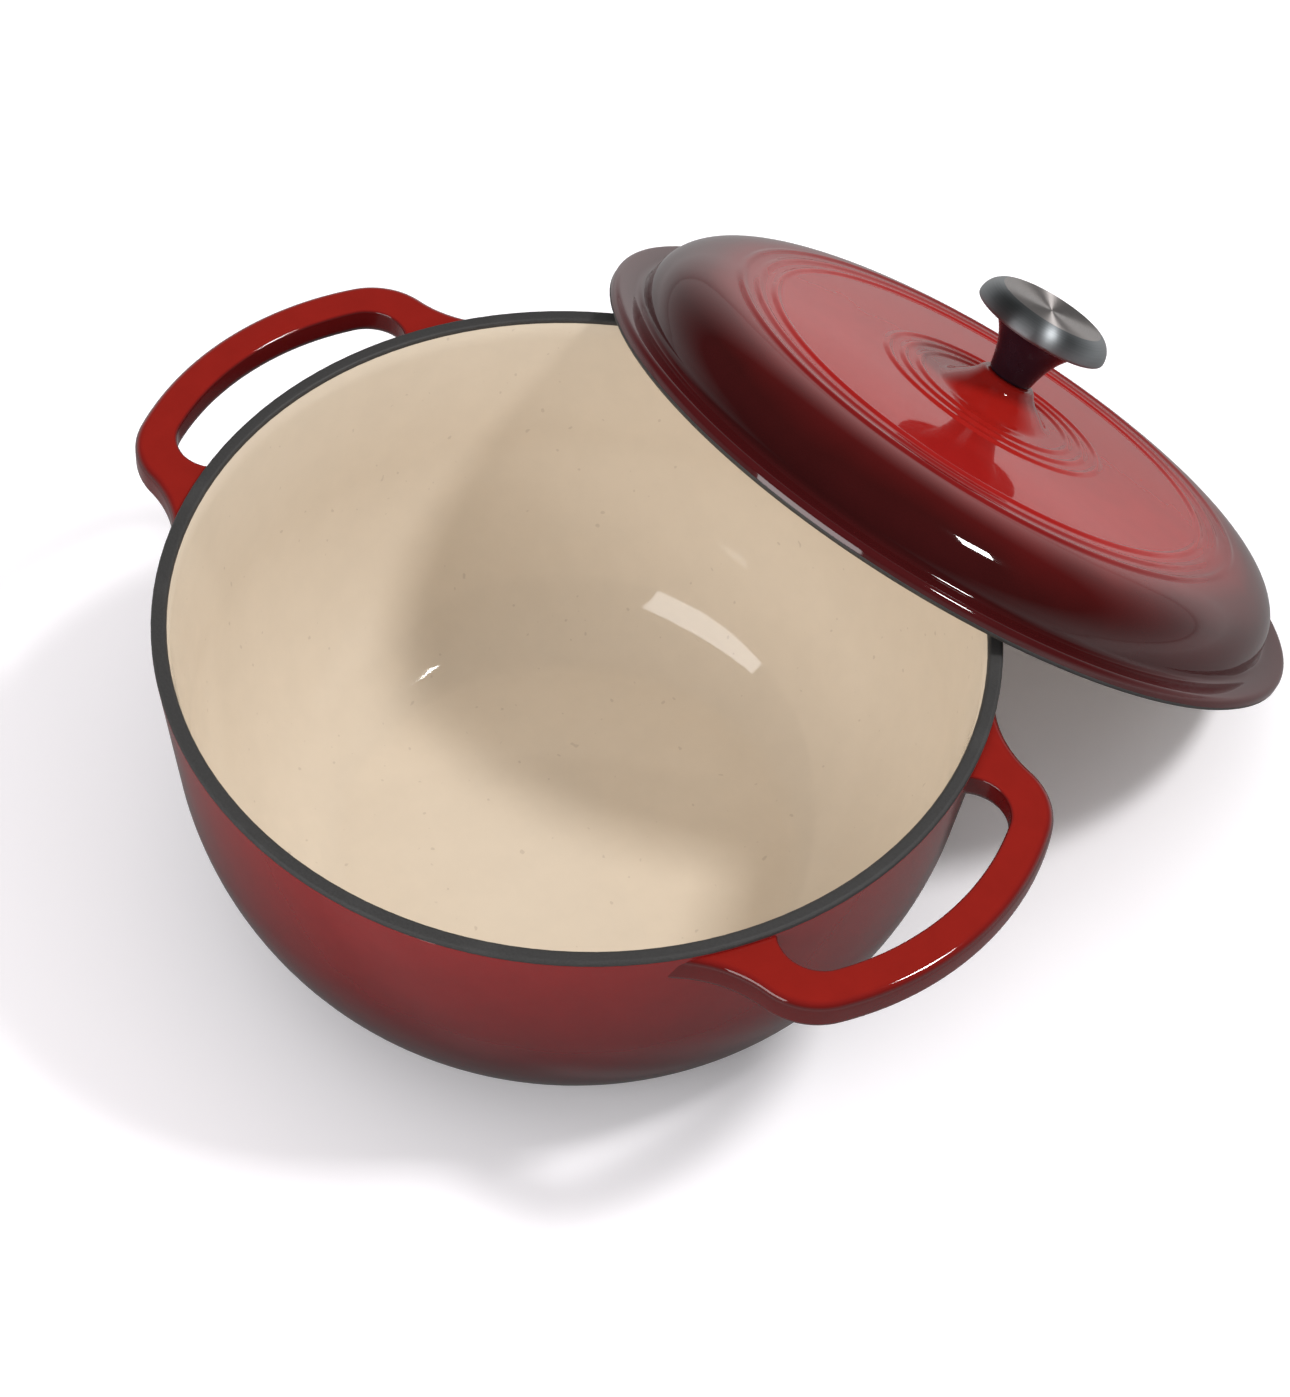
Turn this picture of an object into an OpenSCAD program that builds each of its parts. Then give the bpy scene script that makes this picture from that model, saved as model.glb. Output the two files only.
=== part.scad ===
// Cast iron dutch oven: an enamelled pot with two loop handles, and its lid
// taken off and leaning on the rim. Millimetres, +Z up, origin at the middle
// of the flat foot, handles along X.

/* [Pot] */
// Outer diameter of the pot at its rim
pot_d = 268; // [230:1:300]
// Height of the pot from the foot to the rim
pot_h = 128; // [110:1:150]
// Thickness of the iron in the pot's wall and floor
pot_wall = 4.1; // [3.5:0.1:5.5]
// Lean of the upper wall from vertical, in degrees
pot_draft = 6; // [3:0.5:8]
// Height of the rounded lower corner
belly_h = 76; // [60:1:95]
// Roundness of the lower corner, 2 being an ellipse
belly_power = 1.9; // [1.7:0.05:2.4]
// Diameter of the flat ground foot
foot_d = 150; // [130:1:175]
// How far the foot stands out below the enamel
foot_rise = 0.8; // [0.6:0.1:2]
// Depth of the bare band of iron around the rim
rim_bare = 1.5; // [1:0.1:2]
// Rounding of the rim's two edges
rim_round = 1.2; // [0.6:0.1:1.4]

/* [Enamel] */
// Thickness of every enamel coat
enamel = 0.4; // [0.3:0.05:0.6]

/* [Handles] */
// Length of the pot across both handles
handle_span = 336; // [326:1:350]
// Width of one handle where its corners are widest
handle_w = 120; // [105:1:135]
// Width of the handle's arm at each end of the finger hole
arm_w = 14; // [12:0.5:18]
// Width of the handle's bar seen from above
bar_w = 12.8; // [11:0.2:16]
// Height of the handle's bar
bar_h = 12; // [10.5:0.5:14]
// Depth of the handle's flat top below the rim
handle_drop = 2.4; // [1.8:0.1:6]
// Radius of the bow of the bar's outer edge
bow_r = 104; // [95:1:120]
// Radius of the handle's outer corners
corner_r = 24; // [18:1:28]
// Radius of the finger hole's corners
hole_corner_r = 13; // [9:1:15]
// Radius of the flare that runs from the handle into the wall
flare_r = 40; // [25:1:55]
// Rounding of the bar's upper edges
bar_top_round = 2; // [1.2:0.1:3]
// Rounding of the bar's lower outer edge
bar_out_round = 4; // [2:0.25:5]
// Rounding of the bar's lower inner edge
bar_in_round = 6; // [2:0.25:6.5]

/* [Lid] */
// Outer diameter of the lid
lid_d = 269; // [232:1:304]
// Height of the rolled flange at the lid's edge
flange_h = 5; // [4:0.1:6.5]
// Width of the flange outside the dome
flange_w = 11; // [8:0.5:14]
// Depth of the bare band of iron at the flange's lower edge
edge_bare = 1.6; // [1.2:0.1:2]
// Height at which the shoulder meets the lid's flat top
shoulder_h = 27; // [22:0.5:34]
// Width of the rounded shoulder
shoulder_w = 35; // [28:0.5:45]
// Roundness of the shoulder, 2 being an ellipse
shoulder_power = 2.5; // [2:0.1:3]
// How much the top rises from the shoulder to the boss
crown = 3.5; // [1:0.25:6]
// Thickness of the lid, enamel included
lid_t = 6; // [5:0.1:7.5]
// Depth of the rib that centres the lid in the pot
rib_h = 1; // [0.8:0.1:1.6]
// Width of that rib
rib_w = 3.6; // [2.5:0.1:5]
// Clearance between the rib and the inside of the pot
rib_gap = 0.8; // [0.4:0.1:1.5]
// Radius of the innermost ring in the outer group
outer_ring_r = 84.5; // [72:0.5:86]
// Spacing of the rings in the outer group
outer_ring_pitch = 6.4; // [4.5:0.1:7]
// Radius of the innermost ring in the inner group
inner_ring_r = 29.5; // [26:0.5:34]
// Spacing of the rings in the inner group
inner_ring_pitch = 6.2; // [4.5:0.1:7]
// Number of rings in each group
ring_n = 3; // [1:1:3]
// Height of each ring
ring_h = 0.8; // [0.3:0.1:1.2]
// Width of each ring
ring_w = 4.4; // [3:0.1:4.4]
// Height of the boss above the lid's top
boss_h = 6.5; // [4:0.25:8]
// Diameter of the boss where the knob sits
boss_d = 19; // [17.5:0.5:24]

/* [Knob] */
// Diameter of the knob's disc
knob_d = 45; // [38:0.5:55]
// Height of the knob
knob_h = 27.5; // [24:0.5:34]
// Diameter of the stem at its foot
stem_d = 15.5; // [14:0.5:17]
// Diameter of the stem where it meets the disc
stem_top_d = 29; // [24:0.5:34]
// Thickness of the disc at its edge
disc_t = 6.5; // [5:0.25:9]
// Depth of the dish in the disc's brushed top
dish = 0.9; // [0.3:0.1:1.5]
// Width of the bevel around the disc's top
bevel = 2; // [1:0.1:3]

/* [Fastening] */
// Diameter of the screw that holds the knob
screw_d = 6; // [5:0.5:6]
// How far the screw enters the knob
screw_grip = 12; // [8:0.5:15]
// Diameter of the screw's head
head_d = 12; // [10:0.5:13]
// Height of the screw's head
head_h = 3; // [2.5:0.1:4]
// Diameter of the flat washer
washer_d = 18; // [15:0.5:20]
// Thickness of the flat washer
washer_t = 1; // [0.8:0.1:1.6]
// Width of the lock washer's ring
lock_w = 2.2; // [1.6:0.1:2.4]
// Thickness of the lock washer
lock_t = 1.4; // [1:0.1:1.8]
// Clearance around the screw in the lid and the washers
screw_gap = 0.3; // [0.2:0.05:0.5]
// Clearance around the screw in the knob's thread
thread_gap = 0.05; // [0.03:0.01:0.1]

/* [Resting place of the lid] */
// Distance from the pot's axis to the lid's lowest edge
lean_foot = 279; // [270:1:300]
// Direction in which the lid leans out, in degrees from X
lean_az = 85.5; // [70:0.5:110]
// Clearance under the lid's lowest edge and over the rim
rest_gap = 0.3; // [0.2:0.05:0.5]

/* [Hidden] */
$fn = 96;

// Steps along the curves of the revolved profiles
belly_steps = 18;
shoulder_steps = 14;
round_steps = 4;

// ---- Small helpers ----

function unit(v) = v / norm(v);
function polar(r, a) = r * [cos(a), sin(a)];
function reversed(p) = [for (i = [len(p) - 1 : -1 : 0]) p[i]];
function arc(c, r, a0, a1, n) = [for (i = [0 : n]) c + polar(r, a0 + (a1 - a0) * i / n)];

// A line of points moved sideways by d, to the left of its own direction
function moved(p, d) = [
    for (i = [0 : len(p) - 1])
        let (t = unit(p[min(i + 1, len(p) - 1)] - p[max(i - 1, 0)]))
        p[i] + d * [-t.y, t.x]
];

// The middle of a circle of radius rb + rc about b, seen from a at distance ra,
// on the left of the line from a to b
function third_corner(a, ra, b, rb) =
    let (ab = b - a, d = norm(ab), x = (d * d + ra * ra - rb * rb) / (2 * d))
    a + x * ab / d + sqrt(ra * ra - x * x) * [-ab.y, ab.x] / d;

// ---- Pot ----

pot_r = pot_d / 2;
foot_r = foot_d / 2;
band = pot_wall + 2 * enamel;
rim_z = pot_h - rim_bare;
corner_w = pot_r - (pot_h - foot_rise) * tan(pot_draft) - foot_r;

// Outer face of the wall: its radius at height z above the rounded corner
function wall_r(z) = pot_r - (pot_h - z) * tan(pot_draft);

// One point of the rounded lower corner, a from 0 at its top to 90 at the foot
function belly_point(a) =
    let (s = pow(sin(a), 2 / belly_power), c = pow(cos(a), 2 / belly_power),
         z = foot_rise + belly_h * (1 - s))
    [wall_r(z) - corner_w * (1 - c), z];

// Outer face of the pot from its bare rim to the middle of the floor
pot_face = concat([[wall_r(rim_z), rim_z]],
                  [for (i = [0 : belly_steps]) belly_point(90 * i / belly_steps)],
                  [[0, foot_rise]]);

// The same face, d deeper into the iron, from the same height down
function pot_line(d) = let (line = moved(pot_face, -d)) concat(
    [[wall_r(rim_z) - d / cos(pot_draft), rim_z]],
    [for (i = [1 : len(line) - 1]) line[i]]);

// One rounded edge of the rim, d in from the outer face, a0 and a1 its end angles
function rim_edge(d, a0, a1) =
    arc([wall_r(pot_h - rim_round) - d, pot_h - rim_round], rim_round, a0, a1, round_steps);

module revolve(outline) {
    rotate_extrude() polygon(outline);
}

// Everything inside the face that lies d deep, filled up to the height top
module pot_solid(d, top) {
    revolve(concat([[0, top], [pot_line(d)[0].x, top]], pot_line(d)));
}

module pot_casting() {
    color("dimgray")
    difference() {
        union() {
            pot_solid(enamel, rim_z);
            pot_rim();
            pot_foot();
        }
        pot_cavity();
    }
}

// The rim stands proud of both enamel coats, bare and rounded at both edges
module pot_rim() {
    root_z = rim_z - rim_bare;
    revolve(concat(
        [[0, root_z], [wall_r(root_z) - enamel / cos(pot_draft), root_z]],
        [pot_line(enamel)[0], pot_line(0)[0]],
        rim_edge(rim_round, -pot_draft, 90),
        [[0, pot_h]]));
}

// The space inside the iron, up through the rim
module pot_cavity() {
    revolve(concat(
        [[0, pot_h + 1], [wall_r(pot_h) - band + rim_round + 1, pot_h + 1]],
        [[wall_r(pot_h) - band + rim_round + 1, pot_h]],
        rim_edge(band - rim_round, 90, 180 - pot_draft),
        [pot_line(band)[0]],
        pot_line(enamel + pot_wall)));
}

// The ground pad that the pot stands on
module pot_foot() {
    top = foot_rise + enamel + pot_wall / 2;
    chamfer = foot_rise / 2;
    revolve([[0, 0], [foot_r - chamfer, 0], [foot_r, chamfer], [foot_r, top], [0, top]]);
}

module pot_outer_enamel() {
    color([0.55, 0.07, 0.07])
    difference() {
        pot_solid(0, rim_z);
        pot_solid(enamel, pot_h);
        cylinder(h = 2 * (foot_rise + enamel), r = foot_r, center = true);
    }
}

module pot_inner_enamel() {
    color([0.93, 0.87, 0.76])
    revolve(concat(pot_line(enamel + pot_wall), reversed(pot_line(band))));
}

// ---- Handles ----

bar_r = bow_r - bar_w;
bow_c = [handle_span / 2 - bow_r, 0];
hole_w = handle_w - 2 * arm_w;
root_sink = 1.5;

// Steps along the handle's bow, its corners, its flare and its root
bow_steps = 7;
corner_steps = 7;
flare_steps = 8;
root_steps = 6;
hole_end_steps = 5;

// The outer corner's middle, and that of the flare that meets it and the wall
corner_a = asin((handle_w / 2 - corner_r) / (bow_r - corner_r));
corner_c = bow_c + polar(bow_r - corner_r, corner_a);
flare_c = third_corner([0, 0], pot_r - root_sink + flare_r, corner_c, corner_r + flare_r);
flare_a = direction(flare_c - corner_c);

// The middle of the finger hole's corner
hole_a = asin((hole_w / 2 - hole_corner_r) / (bar_r - hole_corner_r));
hole_c = bow_c + polar(bar_r - hole_corner_r, hole_a);

function direction(v) = atan2(v.y, v.x);

// How far round from the pot's axis a circle of radius r about c meets one of
// radius root about that axis, as the cosine of the turn
function root_cos(c, r, root) = (c * c + r * r - root * root) / (2 * norm(c) * r);

// Half of the handle's outer edge, drawn in by d, from its tip to the wall
function outer_half(d, root) = let (r = flare_r + d) concat(
    arc(bow_c, bow_r - d, 0, corner_a, bow_steps),
    skip(arc(corner_c, corner_r - d, corner_a, flare_a, corner_steps)),
    skip(arc(flare_c, r, flare_a + 180,
             direction(flare_c) + 180 + acos(root_cos(flare_c, r, root)), flare_steps)));

// Half of the finger hole's edge, widened by d, from the bar to the wall. Its
// corner ends on the wall, or runs on straight where the wall is too far in.
function hole_half(d, root) =
    let (r = hole_corner_r + d, near = min(root_cos(hole_c, r, root), 0.5),
         end_a = direction(hole_c) + 180 - acos(near), steps = corner_steps + hole_end_steps,
         end = hole_c + polar(r, end_a))
    concat(
        arc(bow_c, bar_r + d, 0, hole_a, bow_steps),
        [for (i = [1 : steps - 1]) hole_c + polar(r, hole_a + (end_a - hole_a) * i / steps)],
        [end + max(0, along(end, [-sin(end_a), cos(end_a)], root)) * [-sin(end_a), cos(end_a)]]);
function skip(p) = [for (i = [1 : len(p) - 1]) p[i]];

// Distance from p in the direction v to a circle of radius root about the axis
function along(p, v, root) =
    let (k = p * v, room = k * k - p * p + root * root) room < 0 ? 0 : -k - sqrt(room);

// How far the bar's side is drawn in, and how deep, from its top to its underside
function bar_side(bottom_round) = concat(
    arc([bar_top_round, bar_top_round], bar_top_round, 270, 180, 3),
    arc([bottom_round, bar_h - bottom_round], bottom_round, 180, 90, 4));

// Half of the handle's outline at one step of its sides, its root on the wall
function half_level(outs, ins) =
    let (out_z = pot_h - handle_drop - outs.y, in_z = pot_h - handle_drop - ins.y,
         outer = outer_half(outs.x, wall_r(out_z)), hole = hole_half(ins.x, wall_r(in_z)),
         p = outer[len(outer) - 1], q = hole[len(hole) - 1])
    concat([for (o = outer) [o.x, o.y, out_z]],
           [for (i = [1 : root_steps - 1]) root_point(p, q, out_z, in_z, i / root_steps)],
           [for (o = reversed(hole)) [o.x, o.y, in_z]]);

// A point on the wall, the share t of the way from p to q
function root_point(p, q, p_z, q_z, t) =
    let (z = p_z + (q_z - p_z) * t, p_a = direction(p), q_a = direction(q),
         xy = polar(wall_r(z), p_a + (q_a - p_a) * t))
    [xy.x, xy.y, z];

// A whole outline from its half, which starts and ends on the X axis
function whole(h) = concat(h, [for (i = [len(h) - 2 : -1 : 1]) mirror_y(h[i])]);
function mirror_y(p) = [p.x, -p.y, p.z];

// The flat top or underside of a half outline: pairs of points across the bar,
// then a fan about a point in the root, which has the index -1
bar_steps = bow_steps + corner_steps;
half_n = bar_steps + flare_steps + root_steps + bar_steps + hole_end_steps + 1;
half_cap = concat(
    [for (i = [0 : bar_steps - 1]) [i, i + 1, half_n - 2 - i, half_n - 1 - i]],
    [for (i = [bar_steps : half_n - 2 - bar_steps]) [-1, i, i + 1]],
    [[-1, half_n - 1 - bar_steps, bar_steps]]);

// The same faces numbered within the whole handle, whose outlines have n points
function cap(first, middle, n, mirrored) = [for (f = half_cap)
    [for (j = f) j < 0 ? middle : first + (mirrored ? (n - j) % n : j)]];
function flipped(faces) = [for (f = faces) reversed(f)];

// The point in the root that sees both of its ends and the bar
function fan_point(h) =
    let (p = h[bar_steps + flare_steps], q = h[bar_steps + flare_steps + root_steps],
         w = (h[bar_steps] + h[half_n - 1 - bar_steps]) / 2, m = 0.45 * p + 0.3 * q + 0.25 * w)
    [m.x, m.y, h[0].z];

// One handle along +X, its coat of enamel included
module handle() {
    outs = bar_side(bar_out_round);
    ins = bar_side(bar_in_round);
    halves = [for (i = [0 : len(outs) - 1]) half_level(outs[i], ins[i])];
    n = 2 * half_n - 2;
    last = (len(halves) - 1) * n;
    fan = len(halves) * n;
    top_fan = fan_point(halves[0]);
    low_fan = fan_point(halves[len(halves) - 1]);
    polyhedron(
        points = concat([for (h = halves) for (p = whole(h)) p],
                        [top_fan, mirror_y(top_fan), low_fan, mirror_y(low_fan)]),
        faces = concat(
            flipped(cap(0, fan, n, false)), cap(0, fan + 1, n, true),
            cap(last, fan + 2, n, false), flipped(cap(last, fan + 3, n, true)),
            [for (k = [0 : n : last - n]) for (i = [0 : n - 1])
                [k + i, k + (i + 1) % n, k + n + (i + 1) % n, k + n + i]]));
}

module handle_right() {
    color([0.62, 0.08, 0.08]) handle();
}

module handle_left() {
    rotate([0, 0, 180]) handle_right();
}

// ---- Lid, in its own frame: flange down on Z = 0 ----

lid_r = lid_d / 2;
dome_r = lid_r - flange_w;
flat_r = dome_r - shoulder_w;
rib_r = wall_r(pot_h) - band / cos(pot_draft) - rib_gap;
hole_r = screw_d / 2 + screw_gap;
flange_round = 2.2;

// A smooth hump of height 1 across the middle of a span
function hump(x, w) = abs(x) < w / 2 ? (1 + cos(360 * x / w)) / 2 : 0;

// Height of the rings at radius r
function rings_at(r) = ring_h * (ring_group(r, outer_ring_r, outer_ring_pitch)
                               + ring_group(r, inner_ring_r, inner_ring_pitch));
function ring_group(r, first, pitch, i = 0) =
    i == ring_n ? 0 : hump(r - first - i * pitch, ring_w) + ring_group(r, first, pitch, i + 1);

// The plain top inside the shoulder, and the shoulder outside it
function top_h(r) = shoulder_h + crown * (1 - pow(r / flat_r, 2));
function shoulder_at(r) =
    flange_h + (shoulder_h - flange_h)
    * pow(1 - pow((r - flat_r) / shoulder_w, shoulder_power), 1 / shoulder_power);
function lid_h(r) = r < flat_r ? top_h(r) : shoulder_at(r);

boss_r = boss_d / 2;
boss_w = 10;
boss_z = top_h(boss_r) + boss_h;
function boss_side(a) = [boss_r + boss_w * (1 - cos(a)) / 2 + 1.2 * sin(a),
                         top_h(boss_r + boss_w) + (boss_z - top_h(boss_r + boss_w)) * (1 + cos(a)) / 2];

// Outer face of the lid, from the bare edge of the flange to the screw's hole
groove_r = dome_r + 1.5;
lid_face = concat(
    [[lid_r, edge_bare]],
    arc([lid_r - flange_round, flange_h - flange_round], flange_round, 0, 90, round_steps),
    [[groove_r + 2, flange_h], [groove_r + 0.8, flange_h - 0.7], [groove_r, flange_h - 0.7]],
    [for (i = [0 : shoulder_steps - 1])
        let (r = flat_r + shoulder_w * pow(cos(80 * i / shoulder_steps), 2 / shoulder_power))
        [r, shoulder_at(r) + rings_at(r)]],
    [for (r = [flat_r + 8.8 : -0.8 : boss_r + boss_w + 0.8]) [r, lid_h(r) + rings_at(r)]],
    [for (i = [round_steps * 2 - 1 : -1 : 0]) boss_side(180 * i / (round_steps * 2))],
    [[hole_r, boss_z]]);

// Under face of the lid, from the flange's edge to the screw's hole
pad_r = washer_d / 2 + 1;
pad_z = top_h(0) - lid_t - 0.8;
inner_flat_r = flat_r - lid_t;
inner_w = dome_r - lid_t + 1 - inner_flat_r;
inner_base = 6;
inner_top = top_h(inner_flat_r) - lid_t;
function hollow_h(r) = r < inner_flat_r ? top_h(r) - lid_t
    : inner_base + (inner_top - inner_base)
      * pow(1 - pow((r - inner_flat_r) / inner_w, shoulder_power), 1 / shoulder_power);
hollow_face = concat(
    [[rib_r - rib_w, -rib_h], [rib_r - rib_w - 1.2, -rib_h + 0.8]],
    [for (i = [0 : shoulder_steps])
        let (r = inner_flat_r + inner_w * pow(cos(90 * i / shoulder_steps), 2 / shoulder_power))
        [r, hollow_h(r)]],
    [for (i = [1 : 5]) let (r = inner_flat_r + (pad_r + 2 - inner_flat_r) * i / 5) [r, hollow_h(r)]],
    [[pad_r, pad_z], [hole_r, pad_z]]);

module lid_casting() {
    iron_top = moved(lid_face, enamel);
    iron_under = moved(hollow_face, -enamel);
    color("dimgray")
    place_lid()
    revolve(concat(
        reversed(iron_under),
        [hollow_face[0], [rib_r - 0.4, -rib_h], [rib_r, -rib_h + 0.4], [rib_r, 0]],
        [[lid_r - 1, 0], [lid_r, 1], lid_face[0]],
        iron_top));
}

module lid_outer_enamel() {
    color([0.55, 0.07, 0.07])
    place_lid()
    revolve(concat(lid_face, reversed(moved(lid_face, enamel))));
}

module lid_inner_enamel() {
    color([0.93, 0.87, 0.76])
    place_lid()
    revolve(concat(hollow_face, reversed(moved(hollow_face, -enamel))));
}

// ---- Knob and its fastening, in the lid's frame ----

knob_top = boss_z + knob_h;
disc_z = knob_top - disc_t;

// The stem's trumpet curve, a from 0 at its foot to 90 at the disc
function stem_point(a) = [
    stem_d / 2 + (stem_top_d - stem_d) / 2 * (1 - pow(cos(a), 1.3)),
    boss_z + 2 + (disc_z - boss_z - 2) * pow(sin(a), 1.1)
];

module knob() {
    disc_r = knob_d / 2;
    edge_r = 1.4;
    color("silver")
    place_lid()
    revolve(concat(
        [[screw_d / 2 + thread_gap, boss_z], [stem_d / 2 - 1, boss_z], [stem_d / 2, boss_z + 1]],
        [for (i = [0 : 10]) stem_point(9 * i)],
        arc([disc_r - edge_r, disc_z + 1 + edge_r], edge_r, -90, 0, round_steps),
        [[disc_r, knob_top - bevel - 0.6]],
        [[disc_r - 0.4, knob_top - bevel], [disc_r - bevel, knob_top - 0.2],
         [disc_r - bevel - 0.6, knob_top]],
        [for (i = [1 : 6]) let (r = (disc_r - bevel - 0.6) * (1 - i / 6))
            [r, knob_top - dish * (1 - pow(r / (disc_r - bevel - 0.6), 2))]],
        [[0, boss_z + screw_grip + 1.5], [screw_d / 2 + thread_gap, boss_z + screw_grip]]));
}

head_z = pad_z - washer_t - lock_t;

module knob_screw() {
    slot_w = 1.6;
    color("gainsboro")
    place_lid()
    difference() {
        union() {
            translate([0, 0, head_z]) cylinder(h = boss_z - head_z + screw_grip - 1, r = screw_d / 2);
            revolve(concat(
                [[0, head_z], [head_d / 2, head_z], [head_d / 2, head_z - head_h / 3]],
                [for (i = [1 : 5]) [head_d / 2 * cos(18 * i), head_z - head_h / 3 * (1 + 2 * sin(18 * i))]]));
        }
        translate([-head_d, -slot_w / 2, head_z - head_h - 1]) cube([2 * head_d, slot_w, head_h / 2 + 1]);
    }
}

module washer(outer_r, t) {
    difference() {
        cylinder(h = t, r = outer_r);
        translate([0, 0, -1]) cylinder(h = t + 2, r = hole_r);
    }
}

module flat_washer() {
    color("lightgray")
    place_lid()
    translate([0, 0, pad_z - washer_t]) washer(washer_d / 2, washer_t);
}

module lock_washer() {
    color("gray")
    place_lid()
    translate([0, 0, head_z])
    difference() {
        washer(hole_r + lock_w, lock_t);
        translate([0, -0.6, -1]) cube([head_d, 1.2, lock_t + 2]);
    }
}

// ---- Where the lid rests: low edge beside the pot, its rib across the rim ----

// Height of the lid's under face at a distance r from its axis
function under_h(r) =
    r < inner_flat_r + inner_w ? hollow_h(r)
    : r < rib_r - rib_w ? lookup(r, [[inner_flat_r + inner_w, inner_base], [rib_r - rib_w, -rib_h]])
    : r < rib_r ? -rib_h : 0;

// A point of the rim, r and a about the pot's axis, as a lid tilted by t has
// it: its distance from the lid's axis and its height over the flange
function from_lid(r, a, t) =
    let (x = r * cos(a) - lean_foot + lid_r * cos(t), z = pot_h - rest_gap - lid_r * sin(t))
    [norm([x * cos(t) - z * sin(t), r * sin(a)]), x * sin(t) + z * cos(t)];

// Least room between the rim and the under face of a lid tilted by t
function room(t) = min([for (r = [pot_r, pot_r - band / 2, pot_r - band], a = [0 : 0.5 : 90])
    let (q = from_lid(r, a, t)) if (q[0] < lid_r) under_h(q[0]) - q[1]]);

// The least tilt, between lo and hi, that keeps the lid clear of the rim
function lean_tilt(lo, hi, rounds) = let (mid = (lo + hi) / 2)
    rounds == 0 ? hi :
    room(mid) < rest_gap ? lean_tilt(mid, hi, rounds - 1) : lean_tilt(lo, mid, rounds - 1);
tilt = lean_tilt(20, 55, 16);

module place_lid() {
    rotate([0, 0, lean_az])
    translate([lean_foot - lid_r * cos(tilt), 0, lid_r * sin(tilt) + rest_gap])
    rotate([0, tilt, 0])
        children();
}

pot_casting();
pot_outer_enamel();
pot_inner_enamel();
handle_right();
handle_left();
lid_casting();
lid_outer_enamel();
lid_inner_enamel();
knob();
knob_screw();
flat_washer();
lock_washer();
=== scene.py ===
from math import acos, asin, atan2, cos, pi, radians, sin, sqrt, tan

import bmesh
import bpy
from mathutils import Matrix, Vector


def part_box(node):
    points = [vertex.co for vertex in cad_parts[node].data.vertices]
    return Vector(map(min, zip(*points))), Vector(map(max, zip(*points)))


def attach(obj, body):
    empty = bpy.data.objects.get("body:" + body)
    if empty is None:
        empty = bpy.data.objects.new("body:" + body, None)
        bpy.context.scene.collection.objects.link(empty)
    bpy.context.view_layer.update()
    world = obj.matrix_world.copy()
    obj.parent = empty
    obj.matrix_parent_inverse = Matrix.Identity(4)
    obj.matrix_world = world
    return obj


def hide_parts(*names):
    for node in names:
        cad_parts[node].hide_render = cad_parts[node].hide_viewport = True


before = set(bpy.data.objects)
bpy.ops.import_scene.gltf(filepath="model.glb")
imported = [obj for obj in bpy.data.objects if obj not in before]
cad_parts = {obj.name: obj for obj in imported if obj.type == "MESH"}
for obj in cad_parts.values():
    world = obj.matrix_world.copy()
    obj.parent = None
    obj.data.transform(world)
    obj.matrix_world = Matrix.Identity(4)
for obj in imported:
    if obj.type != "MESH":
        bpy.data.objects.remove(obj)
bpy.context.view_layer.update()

MM = 0.001
WELD = 1e-6  # mesh points nearer than this become one

# ---- Sizes read from the frame ----

low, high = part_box("pot_outer_enamel")
ENAMEL_TOP_R = high[0]
ENAMEL_TOP_Z = high[2]
FOOT_RISE = low[2]
RIM_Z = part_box("pot_casting")[1][2]
HANDLE_LOW, HANDLE_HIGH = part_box("handle_right")

# ---- Form of the pot, as in the CAD ----

DRAFT = tan(radians(6))
ENAMEL = 0.4 * MM
LIP_W = 0.12 * MM  # bevel at the top edge of each coat
LIP_H = 0.15 * MM
BAND = 4.9 * MM
BELLY_H = 76 * MM
BELLY_POWER = 1.9
BELLY_STEPS = 72
BELLY_EASE = 1.15  # over 1, the points lie closer near the wall
WALL_STEP = 8 * MM
WALL_STEPS = 6
FOOT_R = 75 * MM
POT_R = ENAMEL_TOP_R + (RIM_Z - ENAMEL_TOP_Z) * DRAFT
CORNER_W = POT_R - (RIM_Z - FOOT_RISE) * DRAFT - FOOT_R

# ---- Form of the handles ----

BOW_R = 104 * MM
BAR_W = 12.8 * MM
HANDLE_W = 120 * MM
HOLE_W = 92 * MM
CORNER_R = 24 * MM
HOLE_CORNER_R = 13 * MM
FLARE_R = 40 * MM
FLARE_SINK = 1.5 * MM
BOW_STEPS, CORNER_STEPS, FLARE_STEPS, HOLE_STEPS = 20, 24, 20, 28
OUT_TOP_ROUND = 3.2 * MM
IN_TOP_ROUND = 1.2 * MM
OUT_ROUND = 4 * MM
IN_ROUND = 6 * MM
TOP_STEPS, LOW_STEPS = 8, 10

# ---- Form of the lid ----

AXIS_ROUNDS = 60  # power iterations, enough for any first guess
EDGE_ZONE = 1.5 * MM  # the casting's points this near its outer edge are its edge
INSET = 0.08 * MM  # keeps the lid's edge inside the CAD model's box
FLANGE_H = 5 * MM
FLANGE_W = 11 * MM
FLANGE_ROUND = 2.2 * MM
BEAD_STEPS = 10
EDGE_BARE = 1.6 * MM
SHOULDER_H = 27 * MM
SHOULDER_W = 35 * MM
SHOULDER_POWER = 2.5
SHOULDER_STEPS = 90
SHOULDER_RISE = 4.4 * MM  # its first point's least height over the flange
CROWN = 3.5 * MM
RING_H = 0.8 * MM
RING_W = 4.4 * MM
OUTER_RINGS = (84.5 * MM, 6.4 * MM)  # first radius, pitch
INNER_RINGS = (29.5 * MM, 6.2 * MM)
RING_N = 3
PLAIN_R = (INNER_RINGS[0] + RING_N * INNER_RINGS[1], OUTER_RINGS[0] - RING_W)
PLAIN_STEP = 1.6 * MM
RING_STEP = 0.35 * MM
SLIVER = 0.2 * MM  # least step before the boss's foot
BOSS_R = 8.6 * MM
BOSS_FOOT_R = 22.5 * MM
BOSS_H = 10 * MM
BORE_R = 3.3 * MM

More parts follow.
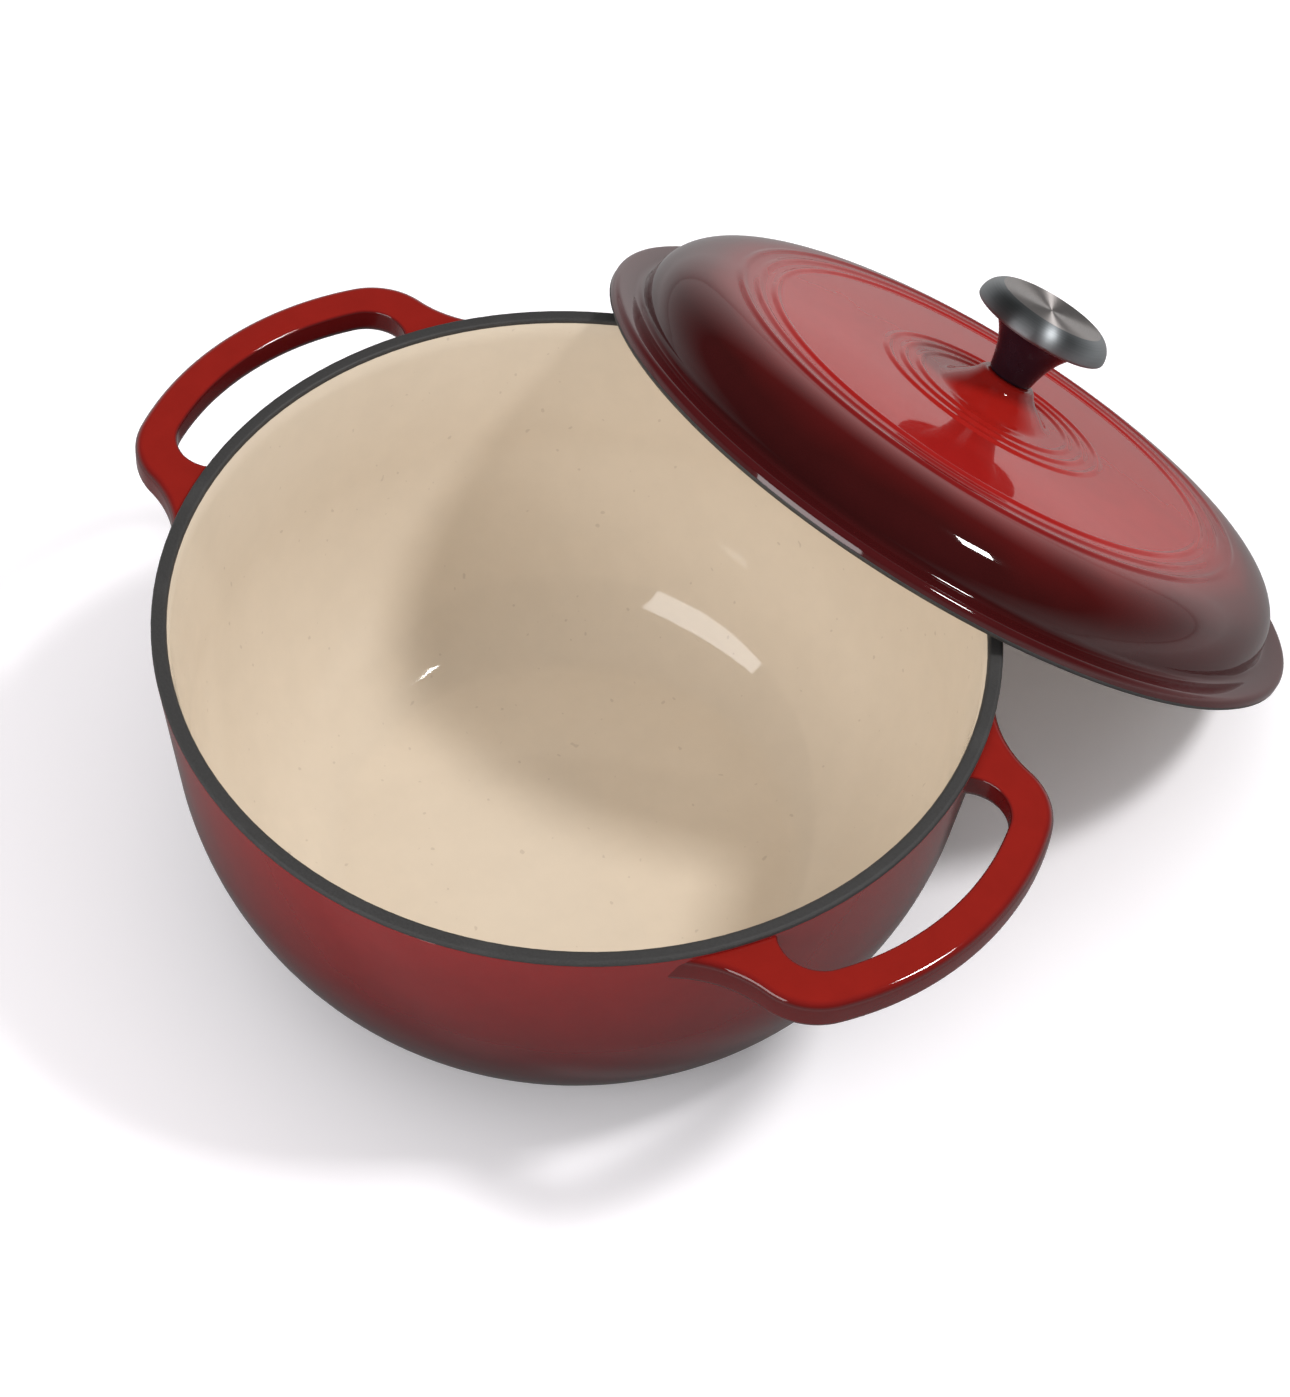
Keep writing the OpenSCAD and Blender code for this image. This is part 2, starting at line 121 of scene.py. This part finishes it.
# A curve is four points in mm and its number of steps.
# Groove at the dome's foot, as (out from the dome, up from the flange's top).
GROOVE = ((4.6, -0.05), (1.0, -0.8), (0, 0.2), (-0.05, 3.4), 12)
SEAM = 8  # the groove's point where the red coat's two pieces meet

# Boss, as (radius, height over its top), above a toe that follows the lid's crown.
BOSS_TOE = (2.5 * MM, 0.15 * MM)
BOSS_TOE_END = ((18.6, -8.5), (16.2, -6.7))
BOSS_TOE_STEPS = 14
BOSS_CURVES = (((16.2, -6.7), (14.4, -5.4), (13.2, -4.6), (12.0, -3.2), 8),
               ((12.0, -3.2), (10.7, -1.7), (10.4, 0), (8.6, 0), 16))

# Knob, as (radius, height over the boss).
STEM_FOOT = ((3.1, 0), (7.1, 0), (7.7, 0.2), (8.05, 0.7))
STEM_CURVES = (((8.1, 1.0), (9.6, 8.0), (11.0, 13.0), (16.5, 18.6), 36),)
EDGE_CURVES = (((16.5, 18.6), (19.5, 19.0), (22.0, 19.3), (23.6, 19.9), 10),
               ((23.6, 19.9), (24.4, 20.2), (24.65, 20.6), (24.6, 21.4), 8),
               ((24.6, 21.4), (24.4, 24.6), (22.4, 27.2), (19.2, 28.1), 20))
FACE_R = 19.2 * MM
FACE_Z = 28.1 * MM
FACE_DISH = 0.6 * MM
FACE_STEPS = 24

# ---- Studio ----

FLOOR_HALF = 6.0
FLOOR_NEAR, FLOOR_FAR = 0.2, 0.7  # distances over which the floor turns white; in reflections its darker near part is painted shade
LAMP_TARGET = (0, 0, 80 * MM)
DOME_LEVEL = 0.62
ZENITH_LEVEL, ZENITH_FROM = 0.05, 0.45


# ---- Mesh helpers ----

def polar(r, a):
    return Vector((r * cos(a), r * sin(a)))


def arc(c, r, a0, a1, n):
    return [Vector(c) + polar(r, a0 + (a1 - a0) * i / n) for i in range(n + 1)]


def bezier(a, b, c, d, n):
    a, b, c, d = map(Vector, (a, b, c, d))
    return [a * (1 - t) ** 3 + b * 3 * t * (1 - t) ** 2 + c * 3 * t * t * (1 - t) + d * t ** 3
            for t in (i / n for i in range(n + 1))]


def in_metres(points, r=0, z=0):
    """Points given in mm, moved by (r, z)."""
    return [(r + x * MM, z + y * MM) for x, y in points]


def joined(curves, z=0):
    """Curves that follow each other, as one line moved up by z."""
    line = []
    for *points, steps in curves:
        line += bezier(*in_metres(points, z=z), steps)[1 if line else 0:]
    return line


def new_object(name, verts, faces, matrix=None, sharp=35):
    """Smooth mesh with its matrix baked in, creased where it turns more than sharp degrees."""
    mesh = bpy.data.meshes.new(name)
    mesh.from_pydata([tuple(v) for v in verts], [], faces)
    if matrix:
        mesh.transform(matrix)
    bm = bmesh.new()
    bm.from_mesh(mesh)
    bmesh.ops.remove_doubles(bm, verts=bm.verts, dist=WELD)
    bmesh.ops.recalc_face_normals(bm, faces=bm.faces)
    bm.to_mesh(mesh)
    bm.free()
    mesh.polygons.foreach_set("use_smooth", [True] * len(mesh.polygons))
    mesh.set_sharp_from_angle(angle=radians(sharp))
    obj = bpy.data.objects.new(name, mesh)
    bpy.context.scene.collection.objects.link(obj)
    return obj


def lathe(name, profile, matrix=None, segments=288, sharp=35):
    """The (radius, height) profile turned about the Z axis."""
    n = len(profile)
    verts = []
    for k in range(segments):
        a = 2 * pi * k / segments
        verts += [(r * cos(a), r * sin(a), z) for r, z in profile]
    faces = []
    for k in range(segments):
        here, there = k * n, (k + 1) % segments * n
        for i in range(n - 1):
            ring = [here + i, there + i, there + i + 1, here + i + 1]
            if profile[i][0] == 0:
                ring.remove(there + i)
            if profile[i + 1][0] == 0:
                ring.remove(there + i + 1)
            faces.append(ring)
    return new_object(name, verts, faces, matrix, sharp)


def dress(piece, material, body, node):
    """Paint a piece, set it on its body, and hide the CAD node it stands in for."""
    piece.data.materials.append(material)
    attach(piece, body)
    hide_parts(node)


def paint_node(name, material):
    """Paint a CAD node that stays visible."""
    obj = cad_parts[name]
    if not obj.material_slots:
        obj.data.materials.append(material)
    for slot in obj.material_slots:
        slot.material = material


# ---- Node helpers ----

class Nodes:
    """The node tree of a material or world, with short calls for the nodes used here."""

    def __init__(self, owner, shader):
        owner.use_nodes = True
        self.owner = owner
        self.tree = owner.node_tree
        self.shader = self.tree.nodes[shader]

    def add(self, kind, inputs=None, **settings):
        node = self.tree.nodes.new(kind)
        for key, value in settings.items():
            setattr(node, key, value)
        for key, value in (inputs or {}).items():
            self.put(value, node.inputs[key])
        return node

    def put(self, value, socket):
        if isinstance(value, bpy.types.NodeSocket):
            self.tree.links.new(value, socket)
        else:
            socket.default_value = value

    def set(self, **inputs):
        for key, value in inputs.items():
            self.put(value, self.shader.inputs[key.replace("_", " ")])

    def math(self, operation, a, b=0.0):
        return self.add("ShaderNodeMath", {0: a, 1: b}, operation=operation).outputs[0]

    def vector(self, operation, a, b):
        return self.add("ShaderNodeVectorMath", {0: a, 1: b}, operation=operation).outputs[0]

    def length(self, vector):
        node = self.add("ShaderNodeVectorMath", {0: vector}, operation="LENGTH")
        return node.outputs["Value"]

    def height(self, vector):
        return self.add("ShaderNodeSeparateXYZ", {0: vector}).outputs["Z"]

    def ramp(self, factor, stops):
        """The first two stops are the ramp's ends, and the others come in any order."""
        node = self.add("ShaderNodeValToRGB", {"Fac": factor})
        elements = node.color_ramp.elements
        for i, (at, colour) in enumerate(stops):
            element = elements[i] if i < 2 else elements.new(at)
            element.position = at
            element.color = (*colour, 1)
        return node.outputs["Color"]

    def spread(self, value, lo, hi, out_lo=0.0, out_hi=1.0):
        node = self.add("ShaderNodeMapRange", {"Value": value, "From Min": lo, "From Max": hi,
                                               "To Min": out_lo, "To Max": out_hi})
        return node.outputs["Result"]

    def mix(self, factor, a, b, blend="MIX"):
        node = self.add("ShaderNodeMix", data_type="RGBA", blend_type=blend)
        self.put(factor, node.inputs[0])
        self.put(a, node.inputs[6])
        self.put(b, node.inputs[7])
        return node.outputs[2]

    def place(self):
        return self.add("ShaderNodeTexCoord").outputs["Object"]

    def noise(self, scale, detail=2.0, roughness=0.5, vector=None):
        node = self.add("ShaderNodeTexNoise", {"Scale": scale, "Detail": detail,
                                               "Roughness": roughness})
        self.put(vector or self.place(), node.inputs["Vector"])
        return node.outputs["Fac"]

    def about(self, place):
        """Outward vector from a place's Z axis, and its length."""
        axis = place.to_3x3() @ Vector((0, 0, 1))
        off = self.vector("SUBTRACT", self.place(), place.translation)
        out = self.vector("CROSS_PRODUCT", self.vector("CROSS_PRODUCT", axis, off), axis)
        return out, self.length(out)

    def bump(self, height, distance, strength=1.0):
        node = self.add("ShaderNodeBump", {"Height": height, "Distance": distance,
                                           "Strength": strength})
        self.set(Normal=node.outputs["Normal"])


def new_material(name):
    return Nodes(bpy.data.materials.new(name), "Principled BSDF")


def grey(v):
    return (v, v, v)


# ---- Materials ----

def enamel_finish(m, colour, waviness, gloss=0.045, uneven=0.035):
    """Fused glass over cast iron: even mottling and a slow ripple."""
    mottle = m.spread(m.noise(90, 3, 0.6), 0.35, 0.65, 1 - uneven, 1 + uneven)
    m.set(Base_Color=m.mix(1.0, colour, m.add("ShaderNodeCombineColor", {
        0: mottle, 1: mottle, 2: mottle}).outputs[0], "MULTIPLY"))
    m.set(Roughness=m.spread(m.noise(260, 2), 0.3, 0.7, gloss * 0.85, gloss * 1.25))
    ripple = m.math("ADD", m.noise(28, 1), m.math("MULTIPLY", m.noise(170, 2), 0.10))
    m.bump(ripple, waviness)
    m.set(IOR=1.5)


def pot_red():
    """Red that deepens to near black towards the foot."""
    m = new_material("pot_red_enamel")
    uneven = m.math("ADD", m.height(m.place()),
                    m.spread(m.noise(9, 2), 0.3, 0.7, -6 * MM, 6 * MM))
    colour = m.ramp(m.spread(uneven, 0, RIM_Z), [
        (0.0, (0.006, 0.002, 0.002)), (1.0, (0.27, 0.012, 0.012)),
        (0.22, (0.020, 0.003, 0.004)), (0.45, (0.075, 0.006, 0.008)),
        (0.70, (0.17, 0.009, 0.010))])
    enamel_finish(m, colour, 0.25 * MM)
    return m.owner


def handle_red_painted_shading():
    """Red with painted light and shade, set by which way each face looks: brighter on the flat
    tops, deeper over the edges and below.
    """
    m = new_material("handle_red_enamel_painted_shading")
    up = m.height(m.add("ShaderNodeNewGeometry").outputs["Normal"])
    # painted light and shade: brightest where the face looks up, dark over the rounded edges,
    # darkest on the underside
    colour = m.ramp(m.spread(up, -1, 1), [
        (0.0, (0.018, 0.003, 0.004)), (1.0, (0.24, 0.012, 0.008)),
        (0.45, (0.12, 0.006, 0.006)), (0.75, (0.07, 0.004, 0.004)),
        (0.95, (0.20, 0.010, 0.008))])
    enamel_finish(m, colour, 0.15 * MM)
    return m.owner


def lid_red(place, lid_r):
    """Clear red in the middle of the lid, running to dark maroon over the shoulder."""
    m = new_material("lid_red_enamel")
    uneven = m.math("ADD", m.about(place)[1],
                    m.spread(m.noise(14, 2), 0.3, 0.7, -4 * MM, 4 * MM))
    colour = m.ramp(m.spread(uneven, 0, lid_r), [
        (0.0, (0.33, 0.012, 0.008)), (1.0, (0.060, 0.006, 0.007)),
        (0.45, (0.38, 0.013, 0.010)), (0.62, (0.36, 0.013, 0.011)), (0.72, (0.20, 0.009, 0.009)),
        (0.80, (0.085, 0.005, 0.005)), (0.88, (0.042, 0.004, 0.004))])
    enamel_finish(m, colour, 0.12 * MM)
    return m.owner


def cream():
    """Warm white glass with a few faint specks."""
    m = new_material("cream_enamel")
    warm = m.ramp(m.noise(12, 2), [(0.3, (0.755, 0.652, 0.525)), (0.7, (0.765, 0.664, 0.538))])
    specks = m.spread(m.noise(420, 0), 0.82, 0.86)
    enamel_finish(m, m.mix(specks, warm, (0.66, 0.56, 0.45, 1)), 0.10 * MM, uneven=0.012)
    return m.owner


def bare_iron():
    """Ground cast iron under a thin matt coat: fine grain and a few brighter rubs."""
    m = new_material("bare_cast_iron")
    grain = m.noise(1500, 4, 0.7)
    rub = m.math("MULTIPLY", m.spread(m.noise(60, 3), 0.55, 0.75), 0.35)
    colour = m.mix(rub, (0.034, 0.032, 0.031, 1), (0.065, 0.062, 0.060, 1))
    speckle = m.ramp(grain, [(0.35, grey(0.015)), (0.7, grey(0.08))])
    m.set(Base_Color=m.mix(0.25, colour, speckle))
    m.set(Roughness=m.spread(grain, 0.3, 0.7, 0.5, 0.68))
    m.bump(grain, 0.05 * MM, 0.6)
    return m.owner


def turned(m, place):
    """Grooves run round the place's axis, so highlights stretch outwards from it."""
    outward, radius = m.about(place)
    m.set(Metallic=1.0, Tangent=outward)
    return m.noise(1.0, 3, 0.7, m.add("ShaderNodeCombineXYZ", {
        0: m.math("MULTIPLY", radius, 2600)}).outputs[0])


def brushed_steel(place):
    """Turned face with fine rings, as a lathe leaves it."""
    m = new_material("knob_brushed_steel")
    rings = turned(m, place)
    m.set(Base_Color=m.ramp(rings, [(0.3, (0.36, 0.33, 0.32)), (0.7, (0.50, 0.465, 0.45))]))
    m.set(Roughness=m.spread(rings, 0.3, 0.7, 0.44, 0.52), Anisotropic=0.95)
    m.bump(rings, 0.01 * MM, 0.5)
    return m.owner


def polished_steel(place):
    """The disc's rounded edge, turned finer than its face and darker."""
    m = new_material("knob_polished_steel")
    rings = turned(m, place)
    m.set(Base_Color=m.ramp(rings, [(0.3, (0.22, 0.235, 0.245)), (0.7, (0.28, 0.295, 0.305))]))
    m.set(Roughness=m.spread(rings, 0.3, 0.7, 0.42, 0.48), Anisotropic=0.9)
    return m.owner


def plum_stem():
    """Stem under a nearly black plum finish."""
    m = new_material("knob_plum_finish")
    cloud = m.noise(120, 2)
    m.set(Base_Color=m.ramp(cloud, [(0.3, (0.011, 0.007, 0.012)), (0.7, (0.017, 0.011, 0.018))]))
    m.set(IOR=1.45, Roughness=m.spread(cloud, 0.3, 0.7, 0.22, 0.28))
    return m.owner


def plain_steel():
    """Scuffed steel of the screw and its washers."""
    m = new_material("fastener_steel")
    scuff = m.noise(700, 4, 0.7)
    m.set(Base_Color=m.ramp(scuff, [(0.3, grey(0.42)), (0.7, grey(0.60))]))
    m.set(Metallic=1.0, Roughness=m.spread(scuff, 0.3, 0.7, 0.28, 0.45))
    m.bump(scuff, 0.02 * MM, 0.5)
    return m.owner


# ---- Pot ----

def wall_r(z):
    return POT_R - (RIM_Z - z) * DRAFT


def belly_point(a):
    z = FOOT_RISE + BELLY_H * (1 - sin(a) ** (2 / BELLY_POWER))
    return (wall_r(z) - CORNER_W * (1 - cos(a) ** (2 / BELLY_POWER)), z)


def pot_face():
    """Outer face of the pot from its enamel's top edge to the middle of its floor."""
    straight = [(wall_r(z), z)
                for z in (ENAMEL_TOP_Z - WALL_STEP * k for k in range(WALL_STEPS))]
    corner = [belly_point(pi / 2 * (k / BELLY_STEPS) ** BELLY_EASE)
              for k in range(BELLY_STEPS + 1)]
    return [p for p in straight if p[1] > corner[0][1] + MM] + corner + [(0, FOOT_RISE)]


def moved(line, d):
    """The line moved d to its left."""
    out = []
    for i, p in enumerate(line):
        a, b = line[max(i - 1, 0)], line[min(i + 1, len(line) - 1)]
        t = Vector((b[0] - a[0], b[1] - a[1])).normalized()
        out.append((p[0] - t.y * d, p[1] + t.x * d))
    return out


def make_pot(red, inside):
    """The two coats. The casting between them is the CAD's own, and shows at rim and foot."""
    face = pot_face()
    top_r, top_z = face[0]
    lip = [(top_r - ENAMEL, top_z), (top_r - LIP_W, top_z), (top_r, top_z - LIP_H)]
    down = [p for p in face[1:] if p[0] >= FOOT_R - MM]
    outer = lathe("pot_enamel_outside", lip + down + [(down[-1][0], FOOT_RISE + ENAMEL)])
    dress(outer, red, "pot", "pot_outer_enamel")

    line = moved(face, -BAND)
    line[-1] = (0, FOOT_RISE + BAND)
    edge_r = top_r - BAND / cos(atan2(DRAFT, 1))
    lip = [(edge_r + ENAMEL, top_z), (edge_r + LIP_W, top_z), (edge_r, top_z - LIP_H)]
    inner = lathe("pot_enamel_inside", lip + line[1:])
    dress(inner, inside, "pot", "pot_inner_enamel")


# ---- Handles ----

def third_corner(a, ra, b, rb):
    """Point at ra from a and rb from b, to the left of the way from a to b."""
    ab = b - a
    d = ab.length
    x = (d * d + ra * ra - rb * rb) / (2 * d)
    return a + ab * (x / d) + Vector((-ab.y, ab.x)) / d * sqrt(ra * ra - x * x)


def heading(v):
    return atan2(v.y, v.x)


BAR_R = BOW_R - BAR_W
BOW_C = Vector((HANDLE_HIGH[0] - BOW_R, 0))
CORNER_A = asin((HANDLE_W / 2 - CORNER_R) / (BOW_R - CORNER_R))
CORNER_C = BOW_C + polar(BOW_R - CORNER_R, CORNER_A)
FLARE_C = third_corner(Vector((0, 0)), POT_R - FLARE_SINK + FLARE_R,
                       CORNER_C, CORNER_R + FLARE_R)
FLARE_A = heading(FLARE_C - CORNER_C)
HOLE_A = asin((HOLE_W / 2 - HOLE_CORNER_R) / (BAR_R - HOLE_CORNER_R))
HOLE_C = BOW_C + polar(BAR_R - HOLE_CORNER_R, HOLE_A)


def root_dir(c, r, root, side):
    """Direction in which the circle at c meets the wall, which is root from the pot's axis."""
    d = c.length
    return heading(c) + pi + side * acos((d * d + r * r - root * root) / (2 * d * r))


def outer_half(d, root):
    """Half the outline, drawn in by d: bow, corner, and flare into the wall."""
    flare = FLARE_R + d
    return (arc(BOW_C, BOW_R - d, 0, CORNER_A, BOW_STEPS)
            + arc(CORNER_C, CORNER_R - d, CORNER_A, FLARE_A, CORNER_STEPS)[1:]
            + arc(FLARE_C, flare, FLARE_A + pi, root_dir(FLARE_C, flare, root, 1),
                  FLARE_STEPS)[1:])


def hole_half(d, root):
    """Half the finger hole's edge, d further from the hole's middle."""
    r = HOLE_CORNER_R + d
    return (arc(BOW_C, BAR_R + d, 0, HOLE_A, BOW_STEPS)
            + arc(HOLE_C, r, HOLE_A, root_dir(HOLE_C, r, root, -1), HOLE_STEPS)[1:])


def bar_side(top_round, bottom_round, height):
    """(distance drawn in, depth) from the flat top round both edges to the underside."""
    top = [(top_round * (1 - sin(a)), top_round * (1 - cos(a)))
           for a in (pi / 2 * k / TOP_STEPS for k in range(TOP_STEPS + 1))]
    bottom = [(bottom_round * (1 - cos(a)), height - bottom_round * (1 - sin(a)))
              for a in (pi / 2 * k / LOW_STEPS for k in range(LOW_STEPS + 1))]
    return top + bottom


def level(outs, ins, top):
    """One outline of the handle, its root laid on the pot's wall."""
    outer = outer_half(outs[0], wall_r(top - outs[1]))
    hole = hole_half(ins[0], wall_r(top - ins[1]))
    half = ([(p.x, p.y, top - outs[1]) for p in outer]
            + [(p.x, p.y, top - ins[1]) for p in reversed(hole)])
    return half + [(x, -y, z) for x, y, z in half[-2:0:-1]]


def make_handle(name, node, turn, material):
    top = HANDLE_HIGH[2]
    height = top - HANDLE_LOW[2]
    rings = [level(o, i, top) for o, i in zip(bar_side(OUT_TOP_ROUND, OUT_ROUND, height),
                                              bar_side(IN_TOP_ROUND, IN_ROUND, height))]
    n = len(rings[0])
    verts = [v for ring in rings for v in ring]
    faces = [[k * n + i, k * n + (i + 1) % n, (k + 1) * n + (i + 1) % n, (k + 1) * n + i]
             for k in range(len(rings) - 1) for i in range(n)]
    faces.append(list(range(n)))
    faces.append([(len(rings) - 1) * n + i for i in range(n)])
    obj = new_object(name, verts, faces, Matrix.Rotation(turn, 4, "Z"), sharp=50)
    dress(obj, material, "pot", node)


# ---- Lid ----

def lid_axis(points):
    """Direction in which the points spread least: the axis of a flat round piece."""
    middle = sum(points, Vector()) / len(points)
    spread = Matrix([[sum((p[i] - middle[i]) * (p[j] - middle[j]) for p in points)
                      for j in range(3)] for i in range(3)])
    inverse = spread.inverted()
    v = Vector((0.3, 0.5, 0.8))
    for _ in range(AXIS_ROUNDS):
        v = (inverse @ v).normalized()
    return v


def lid_place():
    """The lid's own frame, with Z up its axis from its lower edge, and its radius."""
    knob, washer, casting = ([v.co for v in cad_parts[name].data.vertices]
                             for name in ("knob", "flat_washer", "lid_casting"))
    middle = sum(washer, Vector()) / len(washer)
    axis = lid_axis(casting)
    if axis.dot(sum(knob, Vector()) / len(knob) - middle) < 0:
        axis = -axis
    spans = [((v - middle).dot(axis), ((v - middle) - axis * (v - middle).dot(axis)).length)
             for v in casting]
    radius = max(out for _, out in spans)
    edge = min(up for up, out in spans if out > radius - EDGE_ZONE)
    turn = axis.to_track_quat("Z", "Y").to_matrix().to_4x4()
    return Matrix.Translation(middle + axis * edge) @ turn, radius


def hump(x, w):
    return (1 + cos(2 * pi * x / w)) / 2 if abs(x) < w / 2 else 0


def rings_at(r):
    return RING_H * sum(hump(r - first - k * pitch, RING_W)
                        for first, pitch in (OUTER_RINGS, INNER_RINGS) for k in range(RING_N))


def make_lid(place, lid_r, red):
    """The lid's red coat in two pieces. Returns the boss's height and the dome's piece."""
    lid_r -= INSET
    dome_r = lid_r - FLANGE_W
    flat_r = dome_r - SHOULDER_W

    def top_h(r):
        return SHOULDER_H + CROWN * (1 - (r / flat_r) ** 2)

    def shoulder_h(r):
        return FLANGE_H + (SHOULDER_H - FLANGE_H) * (
            1 - ((r - flat_r) / SHOULDER_W) ** SHOULDER_POWER) ** (1 / SHOULDER_POWER)

    bead = arc((lid_r - FLANGE_ROUND, FLANGE_H - FLANGE_ROUND), FLANGE_ROUND,
               0, pi / 2, BEAD_STEPS)
    *points, steps = GROOVE
    groove = bezier(*in_metres(points, dome_r, FLANGE_H), steps)

    shoulder = [flat_r + SHOULDER_W * cos(pi / 2 * k / SHOULDER_STEPS) ** (2 / SHOULDER_POWER)
                for k in range(1, SHOULDER_STEPS)]
    shoulder = [(r, shoulder_h(r) + rings_at(r)) for r in shoulder
                if shoulder_h(r) > FLANGE_H + SHOULDER_RISE]

    top = []
    r = flat_r
    while r > BOSS_FOOT_R + SLIVER:
        top.append((r, top_h(r) + rings_at(r)))
        r -= PLAIN_STEP if PLAIN_R[0] < r < PLAIN_R[1] else RING_STEP
    foot_z = top_h(BOSS_FOOT_R) + rings_at(BOSS_FOOT_R)

    boss_z = top_h(BOSS_R) + BOSS_H
    boss = bezier((BOSS_FOOT_R, foot_z), (BOSS_FOOT_R - BOSS_TOE[0], foot_z + BOSS_TOE[1]),
                  *in_metres(BOSS_TOE_END, z=boss_z), BOSS_TOE_STEPS)
    boss += joined(BOSS_CURVES, boss_z)[1:]

    flange = [(lid_r, EDGE_BARE)] + bead + groove[:SEAM + 1]
    dome = groove[SEAM:] + shoulder + top + boss + [(BORE_R, boss_z)]
    for name, line in (("lid_enamel_flange", flange), ("lid_enamel_dome", dome)):
        piece = lathe(name, line, place, segments=320, sharp=40)
        dress(piece, red, "lid", "lid_outer_enamel")
    return boss_z, piece


# ---- Knob ----

def make_knob(place, boss_z, face_material, edge_material, stem_material):
    """Stem, thick rounded edge and slightly dished face, as turned from one bar."""
    stem = in_metres(STEM_FOOT) + joined(STEM_CURVES)
    edge = joined(EDGE_CURVES)
    face = [(FACE_R * t, FACE_Z - FACE_DISH * (1 - t ** 2))
            for t in (1 - k / FACE_STEPS for k in range(FACE_STEPS + 1))]
    for name, line, material in (("knob_stem", stem, stem_material),
                                 ("knob_edge", edge, edge_material),
                                 ("knob_face", face, face_material)):
        piece = lathe(name, [(r, boss_z + z) for r, z in line], place, segments=160, sharp=50)
        dress(piece, material, "lid", "knob")


# ---- Stage ----

def make_floor():
    """A plain sheet that the camera sees whiter than it lights the pot. In reflections it is
    painted darker near the pot and lighter further out, as painted shade, and to the camera it
    has a faint lilac tint near the pot that colours its shadows.
    """
    mesh = bpy.data.meshes.new("floor")
    s = FLOOR_HALF
    mesh.from_pydata([(-s, -s, 0), (s, -s, 0), (s, s, 0), (-s, s, 0)], [], [[0, 1, 2, 3]])
    floor = bpy.data.objects.new("floor", mesh)
    bpy.context.scene.collection.objects.link(floor)
    m = new_material("floor_white")
    path = m.add("ShaderNodeLightPath").outputs
    position = m.add("ShaderNodeNewGeometry").outputs["Position"]
    reach = m.spread(m.length(position), FLOOR_NEAR, FLOOR_FAR)
    # painted shade: the floor as reflections see it, dark near the pot and lighter further out
    reflected_floor_shade = m.ramp(reach, [(0.0, grey(0.25)), (1.0, grey(0.66))])
    # faint lilac tint near the pot, which shows only in the floor's shadows
    seen = m.ramp(reach, [(0.0, (1.12, 1.09, 1.12)), (1.0, grey(1.4))])
    plain = m.mix(path["Is Glossy Ray"], (*grey(0.50), 1), reflected_floor_shade)
    m.set(Base_Color=m.mix(path["Is Camera Ray"], plain, seen))
    m.set(Roughness=1.0, Specular_IOR_Level=0.0)
    floor.data.materials.append(m.owner)


def make_world():
    """An even dome. Shiny pieces see a dark studio above a bright horizon in it."""
    world = bpy.data.worlds.new("studio")
    bpy.context.scene.world = world
    w = Nodes(world, "Background")
    up = w.height(w.add("ShaderNodeTexCoord").outputs["Generated"])
    studio = w.ramp(up, [(0.0, grey(DOME_LEVEL)), (ZENITH_FROM, grey(ZENITH_LEVEL))])
    path = w.add("ShaderNodeLightPath").outputs
    light = w.mix(path["Is Glossy Ray"], (*grey(DOME_LEVEL), 1), studio)
    w.set(Color=w.mix(path["Is Camera Ray"], light, (1, 1, 1, 1)))


def area_light(name, direction, distance, size, power, glossy=True):
    data = bpy.data.lights.new(name, "AREA")
    data.shape = "RECTANGLE"
    data.size, data.size_y = size
    data.energy = power
    obj = bpy.data.objects.new(name, data)
    way = Vector(direction).normalized()
    obj.location = Vector(LAMP_TARGET) + way * distance
    obj.rotation_euler = way.to_track_quat("Z", "Y").to_euler()
    obj.visible_glossy = glossy
    bpy.context.scene.collection.objects.link(obj)
    return obj


def keep_off(light, piece):
    """The light doesn't reach the piece, so it leaves no streak on it."""
    away = bpy.data.collections.new(light.name + "_away")
    away.objects.link(piece)
    away.collection_objects[0].light_linking.link_state = "EXCLUDE"
    light.light_linking.receiver_collection = away


def make_camera():
    """A long lens, looking down on the pot from between its handles, rolled a little."""
    azimuth, elevation, roll = radians(40.64), radians(51.03), radians(5.22)
    offset_right, offset_back = 22.9 * MM, 716.9 * MM
    height = RIM_Z + 846.2 * MM
    turn = Matrix.Rotation(azimuth, 3, "Z")
    forward = turn @ Vector((0, cos(elevation), -sin(elevation)))
    right = turn @ Vector((1, 0, 0))
    up = right.cross(forward)
    x = right * cos(roll) + up * sin(roll)
    y = up * cos(roll) - right * sin(roll)
    camera = bpy.data.cameras.new("camera")
    camera.lens = 90.9
    camera.sensor_width = 36
    obj = bpy.data.objects.new("camera", camera)
    basis = Matrix((x, y, -forward)).transposed().to_4x4()
    eye = turn @ Vector((offset_right, -offset_back, 0))
    obj.matrix_world = Matrix.Translation((eye.x, eye.y, height)) @ basis
    bpy.context.scene.collection.objects.link(obj)
    bpy.context.scene.camera = obj


# ---- Scene ----

make_camera()
make_floor()
make_world()
area_light("key", direction=(0.406, 0.348, 0.845), distance=3.6, size=(0.52, 0.52), power=60)
softbox = area_light("softbox", direction=(-0.06, -0.85, 0.48), distance=1.5,
                     size=(1.05, 0.45), power=8)
area_light("fill", direction=(-0.2, -0.2, 1.0), distance=4.4, size=(3.6, 3.6), power=20,
           glossy=False)

make_pot(pot_red(), cream())
# the handles' red carries painted light and shade by facing
red = handle_red_painted_shading()
make_handle("handle_right_enamel", "handle_right", 0, red)
make_handle("handle_left_enamel", "handle_left", pi, red)
PLACE, LID_R = lid_place()
BOSS_Z, DOME = make_lid(PLACE, LID_R, lid_red(PLACE, LID_R))
make_knob(PLACE, BOSS_Z, brushed_steel(PLACE), polished_steel(PLACE), plum_stem())
keep_off(softbox, DOME)

iron = bare_iron()
paint_node("pot_casting", iron)
paint_node("lid_casting", iron)
paint_node("lid_inner_enamel", cream())
steel = plain_steel()
for name in ("knob_screw", "flat_washer", "lock_washer"):
    paint_node(name, steel)

bpy.context.scene.view_settings.view_transform = "Standard"
